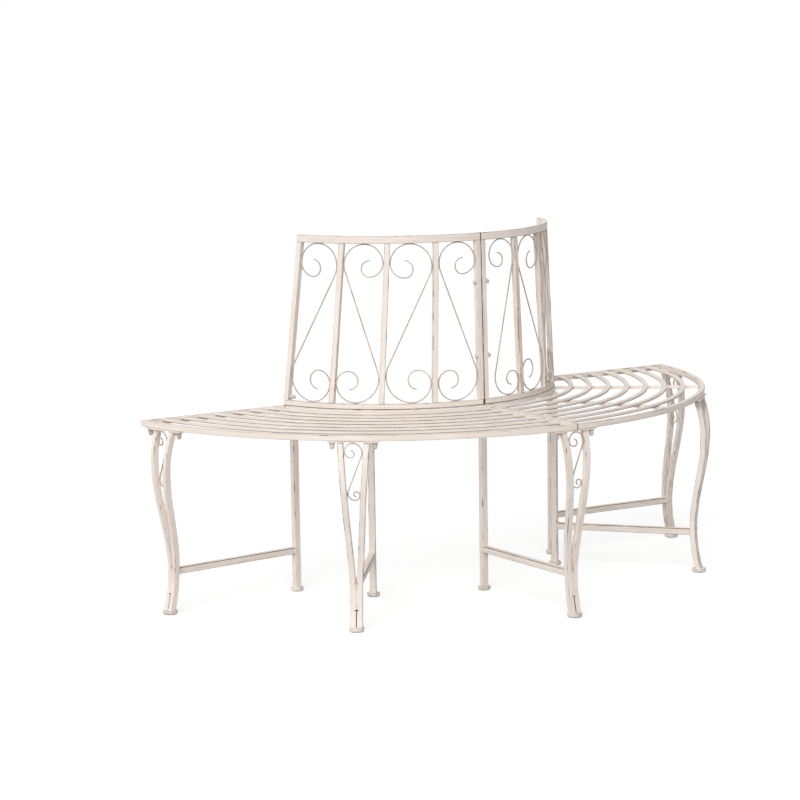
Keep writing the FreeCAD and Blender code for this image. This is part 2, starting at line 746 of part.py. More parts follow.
def leg_scroll():
    top = worked("plate_under")
    bottom = top - size("leg_scroll_height")
    halves = [bar_spread(level) - size("leg_bar") / 2 for level in (bottom, top)]
    body = scroll(halves[0], halves[1], size("leg_scroll_height"), -1)
    across = FreeCAD.Vector(0, 1, 0)
    turn = FreeCAD.Rotation(across, UP, across.cross(UP), "YXZ")
    body.Placement = FreeCAD.Placement(FreeCAD.Vector(size("leg_scroll_set_out"), 0, bottom), turn)
    return body


def leg_angle(share_name, radius):
    # Degrees round the tree from the left: a share of the arc between a circle's two corners.
    corner = math.degrees(math.asin(EDGE / radius))
    return corner + size(share_name) * (2 * STRAIGHT_OUT - 2 * corner)


def leg_frame(name):
    # One frame, drawn with X outwards and its origin below the rim's centre line.
    outer_angle = leg_angle(name + "_outer_share", RIM)
    outer = round_point(-1, outer_angle, worked("rim_centre"))
    inner_angle = leg_angle(name + "_inner_share", RING)
    inner = round_point(-1, inner_angle, size("inner_leg_radius"))
    reach = (outer - inner).Length
    turn = math.degrees(math.atan2(outer.y - inner.y, outer.x - inner.x))
    spot = outer + FreeCAD.Vector(0, TREE, 0)
    half_leg = size("inner_leg") / 2

    def place(piece):
        return move(piece, turn, spot)

    group("leg_bars_" + name, [place(leg_bar(-1)), place(leg_bar(1))])
    keep(move(leg_plate(), outer_angle + 180.0, spot), "leg_plate_" + name)
    keep(place(leg_scroll()), "leg_scroll_" + name)
    leg = box("Sizes.inner_leg", "Sizes.inner_leg", "Derived.seat_under - Sizes.foot_height",
              FreeCAD.Vector(-reach - half_leg, -half_leg, size("foot_height")))
    keep(place(leg), "inner_leg_" + name)
    start = -reach + half_leg
    half = size("stretcher") / 2
    level = size("stretcher_height")
    nearest = min(knee_offset(level - half), knee_offset(level + half))
    run = nearest - size("leg_bar") / 2 - GAP - start
    bar = box("%f" % run, "Sizes.stretcher", "Sizes.stretcher",
              FreeCAD.Vector(start, -half, level - half))
    keep(place(bar), "stretcher_" + name)
    nuts = [move(plate_nut(sign), outer_angle + 180.0, spot) for sign in (-1, 1)]
    outer_foot = foot("outer_foot_diameter")
    outer_foot.Placement.Base.x = -size("leg_foot_inset")
    inner_foot = foot("inner_foot_diameter")
    inner_foot.Placement.Base.x = -reach
    return nuts, place(outer_foot), place(inner_foot)


def leg_frames():
    nuts, outer_feet, inner_feet = [], [], []
    for name in ("left_end", "left_mid", "middle", "right_mid", "right_end"):
        pair, outer_foot, inner_foot = leg_frame(name)
        nuts.extend(pair)
        outer_feet.append(outer_foot)
        inner_feet.append(inner_foot)
    group("plate_nuts", nuts)
    group("outer_feet", outer_feet)
    group("inner_feet", inner_feet)


# The whole bench

for side_name, side_sign in SIDES:
    seat_frame(side_name, side_sign)
    seat_bars(side_name, side_sign)
    seat_slats(side_name, side_sign)
    back_rails(side_name, side_sign)
    back_posts(side_name, side_sign)
    group("back_scrolls_" + side_name, [bay_scroll(side_sign, row) for row in range(4)])
keep(rail_spacer(), "back_rail_spacer")
back_bolts()
leg_frames()
doc.recompute()

for thing in doc.Objects:
    if "Invalid" in thing.State or "Error" in thing.State:
        raise RuntimeError("failed: %s %s %s" % (thing.Name, thing.Label, thing.State))
for piece in nodes:
    if piece.Shape.isNull() or not piece.Shape.isValid():
        raise RuntimeError("bad shape: %s" % piece.Label)

os.makedirs("parts", exist_ok=True)
whole = FreeCAD.BoundBox()
for piece in nodes:
    piece.Shape.exportStep("parts/%s.step" % piece.Label)
    whole.add(piece.Shape.BoundBox)
print("nodes", len(nodes))
print("box", [round(v, 3) for v in (whole.XMin, whole.XMax, whole.YMin, whole.YMax, whole.ZMin, whole.ZMax)])
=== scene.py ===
import json
import math
import random

import bmesh
import bpy
from mathutils import Matrix, Vector
from mathutils.bvhtree import BVHTree


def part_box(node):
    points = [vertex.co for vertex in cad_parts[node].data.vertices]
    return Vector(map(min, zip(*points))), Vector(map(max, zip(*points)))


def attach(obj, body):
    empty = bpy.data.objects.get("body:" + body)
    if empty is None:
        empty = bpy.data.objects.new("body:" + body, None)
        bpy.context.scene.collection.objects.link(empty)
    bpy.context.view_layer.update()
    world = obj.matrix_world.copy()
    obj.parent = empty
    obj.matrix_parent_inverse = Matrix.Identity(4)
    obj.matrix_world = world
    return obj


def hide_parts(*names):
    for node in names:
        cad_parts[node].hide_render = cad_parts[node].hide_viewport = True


# Half-round tree bench of welded square tube under worn cream paint. Metres, Z up, the
# straight back edge along X, the curved front towards -Y and the tree at +Y. Every packed
# node is replaced by the same shape with rounded edges or turned detail, and weld beads are
# added where pieces meet.

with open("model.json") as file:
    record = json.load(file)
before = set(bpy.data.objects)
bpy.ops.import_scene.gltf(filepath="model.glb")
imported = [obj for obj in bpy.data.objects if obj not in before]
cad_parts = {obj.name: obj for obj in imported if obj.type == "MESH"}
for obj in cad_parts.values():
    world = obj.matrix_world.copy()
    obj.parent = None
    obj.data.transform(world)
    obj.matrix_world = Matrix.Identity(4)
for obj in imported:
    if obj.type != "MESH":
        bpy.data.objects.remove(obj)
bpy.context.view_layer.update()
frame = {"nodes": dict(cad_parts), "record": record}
chance = random.Random(7)

MM = 0.001
# How far back the tree's axis stands
TREE_Y = 462.45 * MM
UP = Vector((0, 0, 1))
ALONG = Vector((1, 0, 0))
SIDES = ("left", "right")
LEGS = ("left_end", "left_mid", "middle", "right_mid", "right_end")
SLOT_OF = {part["node"]: part["material_slot"] for part in frame["record"]["subparts"]}


# Node trees

NOISE_ROUGHNESS = 0.6


class Nodes:
    # Adds nodes to the tree of a material or of the world, and links them.

    def __init__(self, tree):
        self.tree = tree

    def add(self, kind, **inputs):
        node = self.tree.nodes.new(kind)
        for name, value in inputs.items():
            node.inputs[name.replace("_", " ")].default_value = value
        return node

    def put(self, value, socket):
        if isinstance(value, bpy.types.NodeSocket):
            self.tree.links.new(value, socket)
        else:
            socket.default_value = value

    def reckon(self, operation, *values):
        node = self.add("ShaderNodeMath")
        node.operation = operation
        for value, socket in zip(values, node.inputs):
            self.put(value, socket)
        return node.outputs[0]

    def spread(self, value, limits):
        # 0 at the first limit and before, 1 at the second and past it.
        node = self.add("ShaderNodeMapRange", From_Min=limits[0], From_Max=limits[1])
        node.interpolation_type = "SMOOTHSTEP"
        self.put(value, node.inputs["Value"])
        return node.outputs["Result"]

    def blend(self, amount, first, second):
        node = self.add("ShaderNodeMix")
        node.data_type = "RGBA"
        self.put(amount, node.inputs["Factor"])
        colours = [socket for socket in node.inputs if socket.type == "RGBA"]
        for value, socket in zip((first, second), colours):
            self.put((*value, 1) if isinstance(value, tuple) else value, socket)
        return [socket for socket in node.outputs if socket.type == "RGBA"][0]

    def noise(self, place, waves, detail):
        # Noise over a piece's own lengths, with so many waves a metre along, across and up.
        scaled = self.add("ShaderNodeVectorMath")
        scaled.operation = "MULTIPLY"
        self.put(place, scaled.inputs[0])
        self.put(waves, scaled.inputs[1])
        pattern = self.add("ShaderNodeTexNoise", Scale=1.0, Detail=detail,
                           Roughness=NOISE_ROUGHNESS)
        self.put(scaled.outputs[0], pattern.inputs["Vector"])
        return pattern.outputs[0]

    def attribute(self, name):
        node = self.add("ShaderNodeAttribute")
        node.attribute_name = name
        return node

    def attribute_parts(self, name):
        parts = self.add("ShaderNodeSeparateXYZ")
        self.put(self.attribute(name).outputs["Vector"], parts.inputs[0])
        return parts.outputs

    def relief(self, height, strength, depth):
        bump = self.add("ShaderNodeBump", Strength=strength, Distance=depth)
        self.put(height, bump.inputs["Height"])
        return bump.outputs["Normal"]


def new_material(name):
    material = bpy.data.materials.new(name)
    material.use_nodes = True
    shader = material.node_tree.nodes["Principled BSDF"]
    return material, Nodes(material.node_tree), shader.inputs


# Worn paint, with painted shade

CREAM = (0.83, 0.74, 0.668)
CREAM_PALE = (0.87, 0.795, 0.735)
CREAM_DIM = (0.68, 0.59, 0.52)
WIRE = (0.46, 0.40, 0.355)
WIRE_PALE = (0.62, 0.55, 0.50)
GREY_CREAM = (0.62, 0.60, 0.545)
FOOT_CREAM = (0.76, 0.72, 0.67)
BROWN = (0.27, 0.18, 0.135)
BROWN_DARK = (0.06, 0.04, 0.03)
BLACK = (0.012, 0.011, 0.010)
BLACK_PALE = (0.045, 0.040, 0.036)

# Waves a metre along, across and up
CLOUD_WAVES = (12, 30, 30)
BRUSH_WAVES = (9, 260, 260)
PATCH_WAVES = (23, 40, 40)
SCRATCH_WAVES = (30, 480, 480)
GRAIN_WAVES = (500, 900, 900)
SPACER_WAVES = (300, 300, 300)

# The noise, or other value, at which each effect starts and at which it is full
CLOUDS = (0.40, 0.68)
BRUSH_MARKS = (0.50, 0.80)
STREAKS = (0.52, 0.62)
THIN_PAINT = (0.44, 0.57)
BARE_METAL = (0.56, 0.61)
INSIDE_LINE = (0.0, 0.7)
LINE_PATCHES = (0.10, 0.55)
SCRATCHES = (0.72, 0.78)
SCRATCH_PATCHES = (0.50, 0.60)
CORNER_SHADE_RANGE = (0.5, 0.1)
DARKEST = (0.62, 0.95)

# How strongly each effect shows
BRUSH_DIMS = 0.22
DIRT_AND_SHADE_DIMS = 0.8
PATCH_SHARE = 0.7
EDGE_LEAST = 0.12
EDGE_THIN = 0.45
EDGE_BARE = 0.45
SEAM_SHADE = 0.9
SCRATCH_BROWN = 0.75

# Painted corner shade, roughness and relief
CORNER_REACH = 4 * MM
CORNER_SAMPLES = 4
WORN_ROUGHNESS = 0.8
SPACER_ROUGHNESS = 0.75
GRAIN_HEIGHT = 0.25
BRUSH_HEIGHT = 0.3
PAINT_BUMP = (0.3, 0.4 * MM)
SPACER_BUMP = (0.4, 0.3 * MM)


def cream_paint(nodes, along, brush, dirt_and_shade, tint, pale):
    # Faint clouds, brushwork, and a darkening over all of it for dirt and painted shade.
    cloud = nodes.noise(along, CLOUD_WAVES, 2)
    paint = nodes.blend(nodes.spread(cloud, CLOUDS), tint, pale)
    dim = nodes.reckon("MULTIPLY", nodes.spread(brush, BRUSH_MARKS), BRUSH_DIMS)
    dim = nodes.reckon("MULTIPLY_ADD", dirt_and_shade, DIRT_AND_SHADE_DIMS, dim)
    return nodes.blend(dim, paint, CREAM_DIM)


def rubbed_edges(nodes, edge, worn, edge_wear):
    # Brown through thin paint along every edge, and more where the paint has gone.
    thin = nodes.reckon("MULTIPLY_ADD", nodes.spread(worn, THIN_PAINT), EDGE_THIN, EDGE_LEAST)
    rubbed = nodes.reckon("MULTIPLY_ADD", nodes.spread(worn, BARE_METAL), EDGE_BARE, thin)
    rubbed = nodes.reckon("MULTIPLY", rubbed, edge)
    return nodes.reckon("MULTIPLY", rubbed, edge_wear)


def brown_lines_and_gap_shade(nodes, seam, edges, worn):
    # Brown along a seam and along the lower and upper edge of a face, in patches: partly worn
    # paint, partly painted shade in the gaps and under the edges.
    brown = nodes.reckon("MULTIPLY", nodes.spread(seam, INSIDE_LINE), SEAM_SHADE)
    for inside, strength in edges:
        found = nodes.reckon("MULTIPLY", nodes.spread(inside, INSIDE_LINE), strength)
        brown = nodes.reckon("MAXIMUM", brown, found)
    return nodes.reckon("MULTIPLY", brown, nodes.spread(worn, LINE_PATCHES))


def long_scratches(nodes, scratch, patch, more):
    limits = [limit - more for limit in SCRATCHES]
    lines = nodes.spread(scratch, limits)
    lines = nodes.reckon("MULTIPLY", lines, nodes.spread(patch, SCRATCH_PATCHES))
    return nodes.reckon("MULTIPLY", lines, SCRATCH_BROWN)


def painted_corner_shade(nodes, strength):
    # Painted shade: brown in the corners where pieces meet, found by ambient occlusion, standing
    # also for grime.
    hollow = nodes.add("ShaderNodeAmbientOcclusion", Distance=CORNER_REACH)
    hollow.samples = CORNER_SAMPLES
    return nodes.reckon("MULTIPLY", nodes.spread(hollow.outputs["AO"], CORNER_SHADE_RANGE), strength)


def worn_paint_with_shade(name, edges, scratches, corners, tint=CREAM, pale=CREAM_PALE, gloss=0.46):
    # Cream paint with brown showing through, and painted shade: brown in the corners where
    # pieces meet, along lower edges and seams, and darker paint on the right half. Each point of
    # a piece carries what steers it: run is its place along, across and up the piece; its edge
    # marks are how near an edge it lies and how far inside the lines along the lower and upper
    # edge; much is the strength of these two lines and of the dirt and painted shade; seam is how
    # far inside the line along a seam it lies.
    material, nodes, shader = new_material(name)
    along = nodes.attribute("run").outputs["Vector"]
    edge, in_lower, in_upper = nodes.attribute_parts("wear_and_shade")
    lower, upper, dirt_and_shade = nodes.attribute_parts("much")
    seam = nodes.attribute("seam").outputs["Fac"]
    brush = nodes.noise(along, BRUSH_WAVES, 2)
    patch = nodes.noise(along, PATCH_WAVES, 3)
    scratch = nodes.noise(along, SCRATCH_WAVES, 3)
    grain = nodes.noise(along, GRAIN_WAVES, 2)
    worn = nodes.reckon("MULTIPLY", patch, PATCH_SHARE)
    worn = nodes.reckon("MULTIPLY_ADD", scratch, 1 - PATCH_SHARE, worn)

    wear_and_shade = rubbed_edges(nodes, edge, worn, edges)
    for more in (
        long_scratches(nodes, scratch, patch, scratches),
        brown_lines_and_gap_shade(nodes, seam, ((in_lower, lower), (in_upper, upper)), worn),
        nodes.reckon("MULTIPLY", nodes.spread(brush, STREAKS), dirt_and_shade),
        painted_corner_shade(nodes, corners),
    ):
        wear_and_shade = nodes.reckon("MAXIMUM", wear_and_shade, more)

    paint = cream_paint(nodes, along, brush, dirt_and_shade, tint, pale)
    colour = nodes.blend(wear_and_shade, paint, BROWN)
    colour = nodes.blend(nodes.spread(wear_and_shade, DARKEST), colour, BROWN_DARK)
    nodes.put(colour, shader["Base Color"])
    rough = nodes.add("ShaderNodeMapRange", To_Min=gloss, To_Max=WORN_ROUGHNESS)
    nodes.put(wear_and_shade, rough.inputs["Value"])
    nodes.put(rough.outputs["Result"], shader["Roughness"])
    height = nodes.reckon("SUBTRACT", nodes.reckon("MULTIPLY", grain, GRAIN_HEIGHT), wear_and_shade)
    height = nodes.reckon("MULTIPLY_ADD", brush, BRUSH_HEIGHT, height)
    nodes.put(nodes.relief(height, *PAINT_BUMP), shader["Normal"])
    return material


# A black block between the bottom rails, black to stand in for the shade in the gap there.
def gap_shade_black(name):
    material, nodes, shader = new_material(name)
    grain = nodes.noise(nodes.attribute("run").outputs["Vector"], SPACER_WAVES, 3)
    nodes.put(nodes.blend(grain, BLACK, BLACK_PALE), shader["Base Color"])
    nodes.put(SPACER_ROUGHNESS, shader["Roughness"])
    nodes.put(nodes.relief(grain, *SPACER_BUMP), shader["Normal"])
    return material


# corners sets the strength of the painted shade where pieces meet.
PAINTS = {
    "painted_frame": worn_paint_with_shade("painted_frame", edges=1.0, scratches=0.05, corners=0.7),
    "painted_legs": worn_paint_with_shade("painted_legs", edges=1.1, scratches=0.08, corners=0.7),
    "painted_scrolls": worn_paint_with_shade("painted_scrolls", edges=0.7, scratches=0.06, corners=0.5,
                                  tint=WIRE, pale=WIRE_PALE),
    "painted_feet": worn_paint_with_shade("painted_feet", edges=1.0, scratches=0.08, corners=0.8,
                               tint=FOOT_CREAM, pale=CREAM_PALE),
    "painted_fasteners": worn_paint_with_shade("painted_fasteners", edges=0.9, scratches=0.08, corners=0.8,
                                    tint=GREY_CREAM, pale=CREAM, gloss=0.38),
    "dark_spacer": gap_shade_black("dark_spacer"),
}


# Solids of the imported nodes

SAME_POINT = 0.01 * MM
SAME_PLANE = math.radians(0.3)
SLIVER = 0.1 * MM


def node_shape(name):
    # A node's solids with their flat faces whole again.
    shape = bmesh.new()
    shape.from_mesh(frame["nodes"][name].data)
    bmesh.ops.remove_doubles(shape, verts=shape.verts, dist=SAME_POINT)
    bmesh.ops.dissolve_limit(shape, angle_limit=SAME_PLANE, verts=shape.verts, edges=shape.edges)
    return shape


def lowest_corner(group):
    return tuple(min(vert.co[k] for vert in group) for k in range(3))


def sorted_points(group):
    return sorted((vert.co.copy() for vert in group), key=tuple)


def solids_of(shape):
    # Lists of the vertices that hang together, sorted by place so that every run has the
    # same order.
    left = set(shape.verts)
    groups = []
    while left:
        found = [left.pop()]
        for vert in found:
            for edge in vert.link_edges:
                other = edge.other_vert(vert)
                if other in left:
                    left.discard(other)
                    found.append(other)
        groups.append(found)
    return sorted(groups, key=lowest_corner)


def node_solids(name):
    # The points of each solid of a node.
    shape = node_shape(name)
    found = [sorted_points(group) for group in solids_of(shape)]
    shape.free()
    return found


def centre_of(points):
    return sum(points, Vector()) / len(points)


def spans(points, axis):
    reaches = [p.dot(axis) for p in points]
    return min(reaches), max(reaches)


def height_range(name):
    lowest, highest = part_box(name)
    return lowest[2], highest[2]


def long_axis(points):
    # The direction in which a straight bar runs.
    middle = centre_of(points)
    far = max(points, key=lambda p: (p - middle).length)
    near = max(points, key=lambda p: (p - far).length)
    half = (near - far).length / 2
    axis = Vector()
    for point in points:
        if (point - far).length < half:
            axis -= point - middle
        else:
            axis += point - middle
    return axis.normalized()


def towards_tree(point):
    return Vector((-point.x, TREE_Y - point.y, 0)).normalized()


# Paint laid along a piece

RUN_RADIUS = 0.5
SHIFT = 5.0


def run_round_tree(point):
    reach = math.hypot(point.x, point.y - TREE_Y)
    turn = math.atan2(point.x, TREE_Y - point.y)
    return Vector((turn * RUN_RADIUS, reach, point.z))


def run_along(axis):
    side = axis.orthogonal().normalized()
    other = axis.cross(side)
    return lambda point: Vector((point.dot(axis), point.dot(side), point.dot(other)))


def way_rule(way, points):
    # What turns a point of a solid into its lengths along, across and up that solid.
    if way == "round":
        return run_round_tree
    if way == "upright":
        return run_along(UP)
    if way == "straight":
        return run_along(long_axis(points))
    return Vector


def run_of(mesh, way):
    # Each vertex's place along its solid, with a chance shift for each solid.
    shape = bmesh.new()
    shape.from_mesh(mesh)
    places = [None] * len(shape.verts)
    for group in solids_of(shape):
        rule = way_rule(way, sorted_points(group))
        shift = Vector([chance.uniform(0, SHIFT) for _ in range(3)])
        for vert in group:
            places[vert.index] = rule(vert.co) + shift
    shape.free()
    return places


def store(mesh, name, domain, vectors):
    attribute = mesh.attributes.new(name, "FLOAT_VECTOR", domain)
    attribute.data.foreach_set("vector", [x for vector in vectors for x in vector])


def lay_paint(mesh, marks, way, much=(0.0, 0.0, 0.0), seam=None):
    # Stores what the paint reads. marks has a vector for each corner of each face.
    store(mesh, "run", "POINT", run_of(mesh, way))
    store(mesh, "wear_and_shade", "CORNER", marks)
    store(mesh, "much", "POINT", [much] * len(mesh.vertices))
    if seam:
        values = mesh.attributes.new("seam", "FLOAT", "POINT")
        values.data.foreach_set("value", [seam(vert.co) for vert in mesh.vertices])


def add_piece(name, shape, slot, nodes=()):
    mesh = bpy.data.meshes.new(name)
    shape.to_mesh(mesh)
    shape.free()
    piece = bpy.data.objects.new(name, mesh)
    bpy.context.scene.collection.objects.link(piece)
    mesh.materials.append(PAINTS[slot])
    for face in mesh.polygons:
        face.use_smooth = True
    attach(piece, "root")
    if nodes:
        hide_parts(*nodes)
    return piece


# Bars, rails, slats and wires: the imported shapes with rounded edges

# Radius and steps of a rounded edge
TUBE_EDGE = (1.5 * MM, 3)
THIN_EDGE = (0.8 * MM, 2)
SLAT_EDGE = (0.6 * MM, 2)
SPACER_EDGE = (0.5 * MM, 2)

SHARP = math.radians(35)
LEVEL_FACE = 0.75
BESIDE_EDGE = 0.4
LARGE_FACE_WEIGHT = 80
NO_LINE = (1.0, 0.0)


def line(reach, strength):
    # A brown line along an edge: how many millimetres it reaches and how strong it is.
    return reach * MM, strength


def line_marks(point, normal, bottom, top, lower, upper):
    # How far inside the lines along the lower and upper edge of an upright face.
    if abs(normal.z) > LEVEL_FACE:
        return 0.0, 0.0
    return 1.0 - (point.z - bottom) / lower[0], 1.0 - (top - point.z) / upper[0]


def rounded(name, edge, way, lower=NO_LINE, upper=NO_LINE, seam=None, edges=1.0, dirt_and_shade=0.0):
    # A node with rounded edges, and brown along its lower edge, its upper edge or a seam.
    shape = node_shape(name)
    sharp = [e for e in shape.edges if len(e.link_faces) == 2 and e.calc_face_angle() > SHARP]
    made = bmesh.ops.bevel(shape, geom=sharp, offset=edge[0], offset_type="OFFSET",
                           segments=edge[1], profile=0.5, affect="EDGES", clamp_overlap=True)
    curved = set(made["faces"])
    shape.normal_update()
    bottom, top = height_range(name)
    marks = []
    for face in shape.faces:
        for loop in face.loops:
            if face not in curved:
                mark = 0.0
            elif all(f in curved for f in loop.vert.link_faces):
                mark = edges
            else:
                mark = BESIDE_EDGE * edges
            marks.append((mark, *line_marks(loop.vert.co, face.normal, bottom, top, lower, upper)))
    piece = add_piece("dressed_" + name, shape, SLOT_OF[name], [name])
    lay_paint(piece.data, marks, way, (lower[1], upper[1], dirt_and_shade), seam)
    even = piece.modifiers.new("Even", "WEIGHTED_NORMAL")
    even.weight = LARGE_FACE_WEIGHT


def beside_joint(reach):
    # Brown next to the plane where the two halves meet: painted shade of the gap between them, with
    # some rubbed paint.
    return lambda point: 1.0 - abs(point.x) / reach


RIM_SEAM = beside_joint(2.2 * MM)
BACK_SEAM = beside_joint(2.6 * MM)
BARS_SEAM = 2.2 * MM
LOW_WELD = 50 * MM
SEAM_FADE = 25 * MM

# How much more the right half is worn and darkened with painted shade, and the dirt on the legs,
# with painted shade on the right end leg
RIGHT_SHADE_AND_WEAR = {"left": 0.0, "right": 0.3}
LEG_DIRT = 0.08
OTHER_LEG_DIRT_AND_SHADE = {"right_mid": 0.04, "right_end": 0.45}


def bar_feet(name):
    # The middle between the lower ends of a leg's two bars, and the direction across them.
    feet = []
    for points in node_solids(name):
        bottom = min(p.z for p in points)
        feet.append(centre_of([p for p in points if p.z < bottom + SLIVER]))
    return (feet[0] + feet[1]) / 2, (feet[1] - feet[0]).normalized()


def between_bars(name):
    # Brown where a leg's two bars lie together, up to the low weld: painted shade of the gap
    # between the bars. Above it the seam is filled.
    middle, across = bar_feet(name)

    def inside(point):
        aside = abs((point - middle).dot(across)) / BARS_SEAM
        return 1.0 - aside - max(0.0, point.z - LOW_WELD) / SEAM_FADE

    return inside


def dress_seat(side, dim):
    rounded("seat_outer_rim_" + side, TUBE_EDGE, "round", upper=line(2.2, 0.35),
            seam=RIM_SEAM, dirt_and_shade=0.4 * dim)
    rounded("seat_inner_ring_" + side, TUBE_EDGE, "round")


def dress_back(side, dim):
    rounded("back_bottom_rail_" + side, TUBE_EDGE, "round", lower=line(2.8, 1.0),
            upper=line(2.0, 0.6))
    rounded("back_top_rail_" + side, TUBE_EDGE, "round", lower=line(2.0, 0.5 + 0.5 * dim),
            upper=line(1.8, 0.5 + 0.5 * dim), seam=BACK_SEAM, dirt_and_shade=0.1 - 0.3 * dim)
    rounded("back_joint_post_" + side, TUBE_EDGE, "straight", seam=BACK_SEAM, dirt_and_shade=0.2)
    for kind in ("back_end_post_", "back_mid_posts_"):
        rounded(kind + side, TUBE_EDGE, "straight", edges=1.0 + dim, dirt_and_shade=1.5 * dim)


def dress_seat_bars(side, dim):
    for kind in ("seat_end_bar_", "seat_joint_bar_"):
        rounded(kind + side, TUBE_EDGE, "straight", dirt_and_shade=1.2 * dim)
    rounded("seat_support_bars_" + side, THIN_EDGE, "straight", edges=0.6)
    # The brown line along each slat's lower edge is painted shade of the gap between slats.
    rounded("seat_slats_" + side, SLAT_EDGE, "round", lower=line(2.4, 0.92), edges=0.5,
            dirt_and_shade=0.3 * dim)


def dress_leg(leg, dirt_and_shade):
    bars = "leg_bars_" + leg
    rounded(bars, TUBE_EDGE, "upright", seam=between_bars(bars), dirt_and_shade=dirt_and_shade)
    rounded("inner_leg_" + leg, TUBE_EDGE, "upright", dirt_and_shade=LEG_DIRT)
    rounded("stretcher_" + leg, TUBE_EDGE, "straight", lower=line(2.2, 0.7),
            upper=line(2.8, 1.0), dirt_and_shade=0.15)
    rounded("leg_plate_" + leg, THIN_EDGE, "straight", dirt_and_shade=0.5 * dirt_and_shade)
    rounded("leg_scroll_" + leg, THIN_EDGE, "free", edges=0.6)


for side in SIDES:
    dress_seat(side, RIGHT_SHADE_AND_WEAR[side])
    dress_back(side, RIGHT_SHADE_AND_WEAR[side])
    dress_seat_bars(side, RIGHT_SHADE_AND_WEAR[side])
    rounded("back_scrolls_" + side, THIN_EDGE, "free", edges=0.6 + 0.3 * RIGHT_SHADE_AND_WEAR[side])
for leg in LEGS:
    dress_leg(leg, OTHER_LEG_DIRT_AND_SHADE.get(leg, LEG_DIRT))
# The spacer's black stands in for the shade in the gap between the bottom rails.
rounded("back_rail_spacer", SPACER_EDGE, "free")


# Feet and fasteners: turned shapes, some with a hexagon. A ring is a height, a radius and
# whether it is a hexagon.

HEX_SECTOR = math.tau / 6
TURNED_SIDES = 36
TURNED_WEAR = 0.5
TURNED_SHARP = math.radians(42)


def close_tube(shape, loops):
    # Faces between loops of vertices, and over the first and the last.
    count = len(loops[0])
    for here, after in zip(loops, loops[1:]):
        for k in range(count):
            following = (k + 1) % count
            shape.faces.new((here[k], here[following], after[following], after[k]))
    shape.faces.new(list(reversed(loops[0])))
    shape.faces.new(loops[-1])


def turned(shape, base, axis, rings):
    # A shape turned about an axis from base, closed at its first and last ring.
    side = axis.orthogonal().normalized()
    other = axis.cross(side)
    loops = []
    for height, radius, hexagon in rings:
        loop = []
        for step in range(TURNED_SIDES):
            angle = math.tau * step / TURNED_SIDES
            reach = radius
            if hexagon:
                flat = math.cos(HEX_SECTOR / 2)
                reach *= flat / math.cos(angle % HEX_SECTOR - HEX_SECTOR / 2)
            spot = side * math.cos(angle) * reach + other * math.sin(angle) * reach
            loop.append(shape.verts.new(base + axis * height + spot))
        loops.append(loop)
    close_tube(shape, loops)


def arc_rings(height, radius, rise, reach, start, end, steps):
    # Rings along an arc in the turned outline, from start to end degrees.
    rings = []
    for step in range(steps + 1):
        angle = math.radians(start + (end - start) * step / steps)
        rings.append((height + rise * math.sin(angle), radius + reach * math.cos(angle), False))
    return rings


def turned_piece(node, shape, upper=NO_LINE):
    bmesh.ops.recalc_face_normals(shape, faces=shape.faces)
    piece = add_piece("dressed_" + node, shape, SLOT_OF[node], [node])
    mesh = piece.data
    bottom, top = height_range(node)
    marks = []
    for face in mesh.polygons:
        for vertex in face.vertices:
            point = mesh.vertices[vertex].co
            found = line_marks(point, face.normal, bottom, top, NO_LINE, upper)
            marks.append((TURNED_WEAR, *found))
    lay_paint(mesh, marks, "free", (0.0, upper[1], 0.0))
    mesh.set_sharp_from_angle(angle=TURNED_SHARP)


def axis_line(points, axis):
    # The point on a round solid's axis that is level with the origin along that axis.
    spot = Vector()
    side = axis.orthogonal().normalized()
    for direction in (side, axis.cross(side)):
        spot += direction * sum(spans(points, direction)) / 2
    return spot


def half_width(points):
    left, right = spans(points, ALONG)
    return (right - left) / 2


def foot_rings(radius, height):
    # A pressed cap: drawn in under, widest half way up, with a rounded shoulder.
    belly = 6.0 * MM
    shoulder = 3.0 * MM
    rings = [(0.0, radius - 6.4 * MM, False)]
    rings += arc_rings(5.4 * MM, radius - belly, 5.2 * MM, belly, -78, 0, 7)
    rings += arc_rings(height - 3.2 * MM, radius - shoulder, shoulder, 2.9 * MM, 5, 80, 5)
    rings.append((height, radius - 5.0 * MM, False))
    return rings


def nut_rings(radius, height):
    # A washer, a hexagon with its corners taken off, and a dome.
    washer = 1.3 * MM
    hexagon = radius * 0.99
    hexagon_top = height * 0.42
    dome = radius * 0.86
    dome_reach = dome * 0.96
    rings = [(0.0, radius, False), (washer * 0.7, radius, False), (washer, radius * 0.94, False)]
    rings += [(washer, radius * 0.90, True), (washer + 0.6 * MM, hexagon, True),
              (hexagon_top - 0.8 * MM, hexagon, True), (hexagon_top, dome * 0.97, False)]
    rings.append((height - dome, dome_reach, False))
    rings += arc_rings(height - dome, 0.0, dome, dome_reach, 12, 84, 7)
    return rings


def shank_rings(length):
    radius = 3.0 * MM
    chamfer = 0.5 * MM
    return [(-length, radius - chamfer, False), (chamfer - length, radius, False),
            (-0.01 * MM, radius, False)]


def flat_head_rings(radius, height):
    return [(0.0, radius * 0.97, False), (height * 0.55, radius, False),
            (height * 0.85, radius * 0.93, False), (height, radius * 0.80, False)]


def low_dome_rings(radius, height):
    # A washer and a low round head.
    washer = 1.0 * MM
    rings = [(0.0, radius, False), (washer, radius, False)]
    return rings + arc_rings(washer, 0.0, height - washer, radius * 0.92, 8, 84, 7)


FOOT_LINE = line(3.4, 0.6)
PLATE_THICKNESS = 3.0 * MM
CAP_RADIUS = 6.5 * MM
PANEL_NUT_RADIUS = 7.2 * MM
PANEL_BOLT_HEAD = 7.0 * MM
FLAT_HEAD = 3.0 * MM


